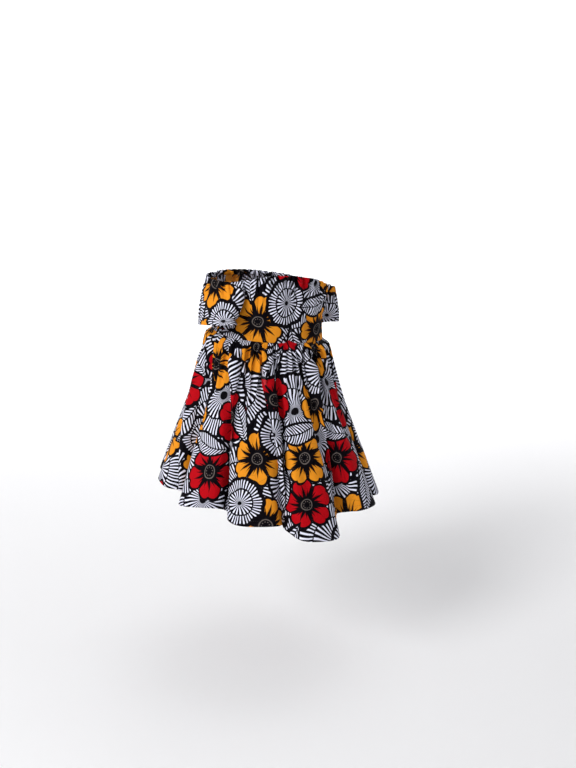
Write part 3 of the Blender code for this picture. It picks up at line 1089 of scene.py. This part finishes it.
def motif(name):
    """A new group for one shape of the print, and the numbers that its shape is worked out from:
    its size, how many petals or rays it has, and how far and at what angle a place on the cut lies
    from its middle.
    """
    tree = bpy.data.node_groups.new(name, "ShaderNodeTree")
    for label, kind in (
        ("Under", "Color"), ("Cut", "Vector"), ("Middle", "Vector"), ("Size", "Float"),
        ("Turn", "Float"), ("Count", "Float"), ("Colour", "Color"),
    ):
        tree.interface.new_socket(label, in_out="INPUT", socket_type="NodeSocket" + kind)
    tree.interface.new_socket("Print", in_out="OUTPUT", socket_type="NodeSocketColor")
    given = tree.nodes.new("NodeGroupInput").outputs
    size, turn, count = (Number(tree, given[label]) for label in ("Size", "Turn", "Count"))
    away = node(tree, "VectorMath", (given["Cut"], given["Middle"]), operation="SUBTRACT")
    apart = node(tree, "SeparateXYZ", (away.outputs[0],)).outputs
    x, y = (
        Number(tree, apart[axis]).do("WRAP", PRINT_REPEAT[axis] / 2, -PRINT_REPEAT[axis] / 2)
        for axis in (0, 1)
    )
    return tree, given, size, count, hypotenuse(x, y), y.do("ARCTAN2", x) + turn


def finish_motif(tree, colour):
    tree.links.new(colour, tree.nodes.new("NodeGroupOutput").inputs[0])
    print(tree.name, len(tree.nodes), "nodes")
    return tree


# %% [markdown]
# ### Blossom
#
# A petal repeats round the middle, so the angle is wrapped to one petal and runs from 0 on its middle
# line to 1 at its side. The petal's reach falls towards the sides and dips a little on the middle
# line, which makes its heart shape.

# %% Blossom
LINE = (0.0022, 0.0014, 0.0030, 1)
CENTRE_RING = (0.13, 0.11, 0.10, 1)
PETAL_LINE = 0.0046          # the black line round the flower
PETAL_FALL, PETAL_POWER = 0.36, 3.2
NOTCH, NOTCH_WIDTH = 0.08, 0.30
HEART, HEART_RIPPLE, HEART_SHADE = 0.52, 0.10, 0.30
PETAL_GAP, PETAL_GAP_GROWTH = 0.0018, 0.0030     # half width at the petals' ends, growing inwards
VEINS = (
    # where across the petal, share of the petal's length, half width at the middle, bend
    (0.0, 0.80, 0.0044, 0.0),
    (0.25, 0.62, 0.0032, 0.05),
)
CENTRE, RING, SEED_ROW = 0.30, 0.205, 0.125      # shares of the flower's size
RING_LINE, SEED_RADIUS = 0.00075, 0.0008
SEEDS = 9


def blossom():
    tree, given, size, count, distance, angle = motif("blossom")
    middle_away = abs((angle * count / math.tau).do("WRAP", 0.5, -0.5))
    side = middle_away * 2
    arc = distance * math.tau / count
    share = distance / size
    notch = (1 - side / NOTCH_WIDTH).do("MAXIMUM", 0) ** 2
    inside = size * (1 - side**PETAL_POWER * PETAL_FALL - notch * NOTCH) - distance
    petal = edge(inside)
    colour = paint(tree, given["Under"], LINE, edge(inside + PETAL_LINE))
    colour = paint(tree, colour, given["Colour"], petal)
    deep = paint(tree, given["Colour"], LINE, HEART_SHADE)
    heart = size * ((angle * count * 2).do("COSINE") * HEART_RIPPLE + HEART)
    colour = paint(tree, colour, deep, petal, edge(heart - distance))
    gap = (0.5 - middle_away) * arc
    width = (1 - share) * PETAL_GAP_GROWTH + PETAL_GAP
    colour = paint(tree, colour, LINE, petal, edge(width - gap))
    for across, reach, width, bend in VEINS:
        off = abs(middle_away - across - share * bend) * arc
        taper = width - share * (width / reach)
        colour = paint(tree, colour, LINE, petal, edge(taper - off))
    colour = paint(tree, colour, LINE, edge(size * CENTRE - distance))
    colour = paint(tree, colour, CENTRE_RING, edge(RING_LINE - abs(distance - size * RING)))
    beside = (angle * (SEEDS / math.tau)).do("WRAP", 0.5, -0.5) * distance * (math.tau / SEEDS)
    seed = hypotenuse(beside, distance - size * SEED_ROW)
    colour = paint(tree, colour, CENTRE_RING, edge(SEED_RADIUS - seed))
    return finish_motif(tree, colour)


# %% [markdown]
# ### Sun wheel and leaf
#
# A sun wheel is a disc of pale rays on black, with half as many rays inside its ring. Its rays end
# round, because each reaches further on its middle line than at its sides. A leaf is the space
# between two arcs, bent a little, with stripes that meet at its rib.

# %% Sun wheel and leaf
WHEEL_RING = 0.60            # share of the wheel's radius
WHEEL_HUB = 0.10
WHEEL_SCALLOP = 0.05
WHEEL_LINE, WHEEL_RING_LINE = 0.0036, 0.0011
RAYS_TO_A_SCALLOP = 8
RAY_THINNING = -0.28         # 0 would leave the rays as wide as the gaps
RAY_ROUND, RAY_GAP = 0.0012, 0.0030
LEAF_WIDTH = 0.36            # half width as a share of half the leaf's length
LEAF_BEND, LEAF_TAPER, LEAF_TIP = 0.16, 0.25, 0.5
LEAF_LINE, LEAF_INSET, LEAF_RIB = 0.0038, 0.0006, 0.0009
LEAF_STRIPE, STRIPE_SLANT, STRIPE_THINNING = 0.0052, 0.75, -0.22


def sun_wheel():
    tree, given, size, count, distance, angle = motif("sun_wheel")
    scallop = abs((angle * (count / RAYS_TO_A_SCALLOP)).do("COSINE"))
    inside = size * (scallop * WHEEL_SCALLOP + (1 - WHEEL_SCALLOP)) - distance
    colour = paint(tree, given["Under"], LINE, edge(inside + WHEEL_LINE))
    from_ring = distance - size * WHEEL_RING
    rays = count * (from_ring.do("GREATER_THAN", 0) * 0.5 + 0.5)
    wave = (angle * rays).do("COSINE")
    ray = (wave + RAY_THINNING) * distance / rays
    end = inside + wave * RAY_ROUND - RAY_GAP
    hub = distance - size * WHEEL_HUB
    colour = paint(tree, colour, given["Colour"], edge(ray), edge(end), edge(hub))
    colour = paint(tree, colour, LINE, edge(WHEEL_RING_LINE - abs(from_ring)))
    return finish_motif(tree, colour)


def leaf():
    tree, given, size, _, distance, angle = motif("leaf")
    x, y = (distance * angle.do(operation) for operation in ("COSINE", "SINE"))
    share = x / size
    bulge = (1 - share * share) * size
    off = abs(y - bulge * LEAF_BEND)
    tip = (1 - share * LEAF_TAPER).do("MAXIMUM", LEAF_TIP)
    inside = bulge * LEAF_WIDTH * tip - off
    colour = paint(tree, given["Under"], LINE, edge(inside + LEAF_LINE))
    wave = ((off * STRIPE_SLANT + x) * (math.tau / LEAF_STRIPE)).do("COSINE")
    stripe = (wave + STRIPE_THINNING) * (LEAF_STRIPE / math.tau)
    inner = edge(inside - LEAF_INSET)
    colour = paint(tree, colour, given["Colour"], edge(stripe), inner, edge(off - LEAF_RIB))
    return finish_motif(tree, colour)


# %% [markdown]
# ### The repeat
#
# The repeat is drawn like a painting, from the back to the front: wheels that fill the ground, then
# blossoms, then a few wheels and leaves that cover parts of them.

# %% The repeat
WHITE = (0.82, 0.83, 0.97, 1)
ORANGE = (0.78, 0.28, 0.016, 1)
RED = (0.45, 0.0020, 0.0070, 1)
WHEELS = (
    # across, down, size
    (0.120, 0.100, 0.068), (0.250, 0.000, 0.066), (0.000, 0.110, 0.068), (0.190, 0.090, 0.066),
    (0.310, 0.215, 0.066), (0.090, 0.200, 0.064), (0.205, 0.205, 0.066), (0.150, 0.160, 0.060),
    (0.070, 0.000, 0.064), (0.285, 0.115, 0.068), (0.010, 0.265, 0.064), (0.120, 0.265, 0.062),
)
BLOSSOMS = (
    # across, down, size, turn in degrees, petals, colour
    (0.045, 0.050, 0.0423, 10, 6, ORANGE), (0.150, 0.026, 0.0386, 25, 5, RED),
    (0.262, 0.062, 0.0442, 0, 6, ORANGE), (0.100, 0.138, 0.0414, 40, 5, RED),
    (0.208, 0.150, 0.0432, 15, 6, ORANGE), (0.318, 0.158, 0.0396, 5, 5, RED),
    (0.040, 0.226, 0.0432, 30, 6, ORANGE), (0.158, 0.236, 0.0386, 0, 6, ORANGE),
    (0.262, 0.238, 0.0423, 50, 5, RED),
)
SMALL_WHEELS = (
    # across, down, size
    (0.010, 0.012, 0.036), (0.218, 0.098, 0.040), (0.085, 0.190, 0.038),
)
LEAVES = (
    # across, down, size, turn in degrees
    (0.098, 0.078, 0.040, 30), (0.300, 0.012, 0.040, 80), (0.155, 0.190, 0.040, 10),
    (0.262, 0.188, 0.042, -25), (0.010, 0.165, 0.036, -70), (0.105, 0.268, 0.038, 100),
)
WHEEL_RAYS, WHEEL_TURN = 60, 23                  # each wheel is turned on from the one before it
SMALL_WHEEL_RAYS, SMALL_WHEEL_TURN = 40, 31
PRINT = (
    # shape, across, down, size, turn in degrees, petals or rays, colour
    *(("sun_wheel", *row, WHEEL_TURN * i, WHEEL_RAYS, WHITE) for i, row in enumerate(WHEELS)),
    *(("blossom", *row) for row in BLOSSOMS),
    *(
        ("sun_wheel", *row, SMALL_WHEEL_TURN * i, SMALL_WHEEL_RAYS, WHITE)
        for i, row in enumerate(SMALL_WHEELS)
    ),
    *(("leaf", *row, 0, WHITE) for row in LEAVES),
)
HAND_DRAWN = 0.0065          # how far a slow noise moves the lines, so that none is ruled
HAND_SCALE = 28


def noise(tree, spot, scale, detail=2, dimensions="2D"):
    """Soft blotches, about as many to a metre as the scale says."""
    made = node(tree, "TexNoise", noise_dimensions=dimensions)
    join(tree, spot, made.inputs["Vector"])
    made.inputs["Scale"].default_value = scale
    made.inputs["Detail"].default_value = detail
    return made.outputs


def print_group():
    """The whole print as one group, from a place on the cut to a colour."""
    shapes = {"sun_wheel": sun_wheel(), "blossom": blossom(), "leaf": leaf()}
    tree = bpy.data.node_groups.new("print", "ShaderNodeTree")
    tree.interface.new_socket("Cut", in_out="INPUT", socket_type="NodeSocketVector")
    tree.interface.new_socket("Print", in_out="OUTPUT", socket_type="NodeSocketColor")
    cut = tree.nodes.new("NodeGroupInput").outputs["Cut"]
    shake = noise(tree, cut, HAND_SCALE, detail=1)["Color"]
    moved = (shake, (HAND_DRAWN, HAND_DRAWN, 0), cut)
    moved = node(tree, "VectorMath", moved, operation="MULTIPLY_ADD").outputs[0]
    colour = LINE
    for shape, across, down, size, turn, count, tint in PRINT:
        drawn = tree.nodes.new("ShaderNodeGroup")
        drawn.node_tree = shapes[shape]
        values = (colour, moved, (across, down, 0), size, math.radians(turn), count, tint)
        for value, socket in zip(values, drawn.inputs):
            join(tree, value, socket)
        colour = drawn.outputs[0]
    return finish_motif(tree, colour)


wax_print = print_group()
print(len(PRINT), "shapes in a repeat of", PRINT_REPEAT[0], "by", PRINT_REPEAT[1], "m")

# %% [markdown]
# ## Wax print cotton
#
# The cloth is a plain weave, a little stiff and almost without shine. Wax resist leaves fine cracks
# where dye ran under it, and the dye isn't quite even. The print goes right through, so the inside is
# the same print, a shade paler.

# %% Wax print cotton
WEAVE = 0.00045
WEAVE_HEIGHT, CLOTH_HEIGHT, CLOTH_STRENGTH = 0.06, 0.0006, 0.35
CREASE_SCALE, CREASE_DETAIL = 70, 3
CRACK_SCALE, CRACK_WIDTH, CRACK_SHADE = 55, 0.012, 0.35
PATCH_SCALE, CRACKED_PATCH = 22, 0.56
DYE_LEAST, DYE_RANGE = 0.92, 0.16
FADED = (0.55, 0.53, 0.55, 1)
COTTON_ROUGHNESS, COTTON_SHINE = 0.72, 0.05
INSIDE_FADING = 0.04


def add_bump(tree, shader, height, distance, strength):
    """Fine relief in how the surface takes the light."""
    bump = node(tree, "Bump")
    bump.inputs["Strength"].default_value = strength
    bump.inputs["Distance"].default_value = distance
    join(tree, height, bump.inputs["Height"])
    join(tree, bump.outputs[0], shader.inputs["Normal"])


def cotton(name, shift, fading):
    """The printed cloth. shift moves the print on the cut, and fading makes it paler."""
    material, shader = new_material(name, COTTON_ROUGHNESS)
    shader.inputs["Specular IOR Level"].default_value = COTTON_SHINE
    tree = material.node_tree
    cut = node(tree, "UVMap", uv_map="cut").outputs[0]
    spot = node(tree, "VectorMath", (cut, (*shift, 0)), operation="ADD").outputs[0]
    drawn = tree.nodes.new("ShaderNodeGroup")
    drawn.node_tree = wax_print
    join(tree, spot, drawn.inputs[0])
    cells = node(tree, "TexVoronoi", feature="DISTANCE_TO_EDGE", voronoi_dimensions="2D")
    join(tree, spot, cells.inputs["Vector"])
    cells.inputs["Scale"].default_value = CRACK_SCALE
    patch = Number(tree, noise(tree, spot, PATCH_SCALE)[0])
    crack = Number(tree, cells.outputs["Distance"]).do("LESS_THAN", CRACK_WIDTH)
    crack = crack * patch.do("GREATER_THAN", CRACKED_PATCH) * CRACK_SHADE
    toned = node(tree, "VectorMath", (paint(tree, drawn.outputs[0], LINE, crack),), operation="SCALE")
    join(tree, patch * DYE_RANGE + DYE_LEAST, toned.inputs["Scale"])
    join(tree, paint(tree, toned.outputs[0], FADED, fading), shader.inputs["Base Color"])
    threads = node(tree, "SeparateXYZ", (cut,)).outputs
    warp, weft = ((Number(tree, threads[axis]) * (math.tau / WEAVE)).do("SINE") for axis in (0, 1))
    creases = Number(tree, noise(tree, cut, CREASE_SCALE, CREASE_DETAIL)[0])
    add_bump(tree, shader, warp * weft * WEAVE_HEIGHT + creases, CLOTH_HEIGHT, CLOTH_STRENGTH)
    return material


PRINT_SHIFTS = {
    "bodice_front": (0.10, 0.26),
    "bodice_back": (0.23, 0.17),
    "sleeve_right": (0.05, 0.02),
    "sleeve_left": (0.29, 0.12),
    "skirt_front": (0.165, 0.03),
    "skirt_back": (0.02, 0.15),
}
for name, (piece, _) in panels.items():
    piece.data.materials.append(cotton(name + "_print", PRINT_SHIFTS[name], 0.0))
    piece.data.materials.append(cotton(name + "_inside", PRINT_SHIFTS[name], INSIDE_FADING))
print("printed", len(panels), "pieces")

# %% [markdown]
# ## Stitches
#
# The casing, the sleeve hems and the skirt hem are each held by one row of dark machine stitches.
# A stitch is a small bead of thread, longer than it is wide, that lies on the cloth along its row.
# There are hundreds of them, so one bead has only a few faces.

# %% Stitches
STITCH_PITCH = 0.0030
STITCH_LENGTH, STITCH_RADIUS = 0.0023, 0.00022
STITCH_ROWS = {
    # kind of piece: the distance of each row from an edge, and whether that edge is the lower one
    "bodice": ((CASING_ROW, False),),
    "sleeve": ((CASING_ROW, False), (0.0085, True)),
    "skirt": ((0.0090, True),),
}
THREAD_DARK, THREAD_LIGHT = (0.006, 0.005, 0.010, 1), (0.030, 0.027, 0.040, 1)
THREAD_FUZZ, THREAD_HEIGHT = 1800, 0.00004


def thread_material():
    material, shader = new_material("dark_thread", roughness=0.55)
    tree = material.node_tree
    spot = node(tree, "TexCoord").outputs["Object"]
    fuzz = noise(tree, spot, THREAD_FUZZ, dimensions="3D")[0]
    join(tree, paint(tree, THREAD_DARK, THREAD_LIGHT, fuzz), shader.inputs["Base Color"])
    add_bump(tree, shader, fuzz, THREAD_HEIGHT, 1)
    return material


def stitch_row(panel, inset, lower, shape):
    """Adds one row of stitches to a bmesh, and says how many it added."""
    points, normals, rows, _ = panels[panel][1]
    place = rows[-1] - inset if lower else rows[0] + inset
    line, facing = (along(grid, rows, place, 1) for grid in (points, normals))
    path = np.insert(np.cumsum(np.linalg.norm(np.diff(line, axis=0), axis=1)), 0, 0)
    count = int(path[-1] / STITCH_PITCH)

    def at(grid, spot):
        return Vector([np.interp(spot, path, grid[:, axis]) for axis in range(3)])

    for middle in (np.arange(count) + 0.5) * path[-1] / count:
        ends = [at(line, middle + side * STITCH_LENGTH / 2) for side in (-1, 1)]
        ahead = (ends[1] - ends[0]).normalized()
        beside = at(facing, middle).normalized().cross(ahead).normalized()
        out = ahead.cross(beside)
        turn = Matrix((ahead, beside, out)).transposed().to_4x4()
        size = Matrix.Diagonal((STITCH_LENGTH / 2, STITCH_RADIUS, STITCH_RADIUS, 1))
        spot = Matrix.Translation((ends[0] + ends[1]) / 2 + out * (CLOTH / 2 + STITCH_RADIUS / 3))
        bmesh.ops.create_icosphere(shape, subdivisions=1, radius=1, matrix=spot @ turn @ size)
    return count


thread = thread_material()
stitches = {}
for name in panels:
    shape = bmesh.new()
    rows = STITCH_ROWS[name.split("_")[0]]
    count = sum(stitch_row(name, inset, lower, shape) for inset, lower in rows)
    stitches[name] = add_object(name + "_stitches", shape)
    stitches[name].data.materials.append(thread)
    print(name, count, "stitches")

# %% [markdown]
# ## Joining the frame
#
# Each cloth stands for one wall of the imported model and moves with its body.

# %% Joining the frame
for name, (piece, _) in panels.items():
    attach(piece, "root")
    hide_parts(name)
    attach(stitches[name], "root")
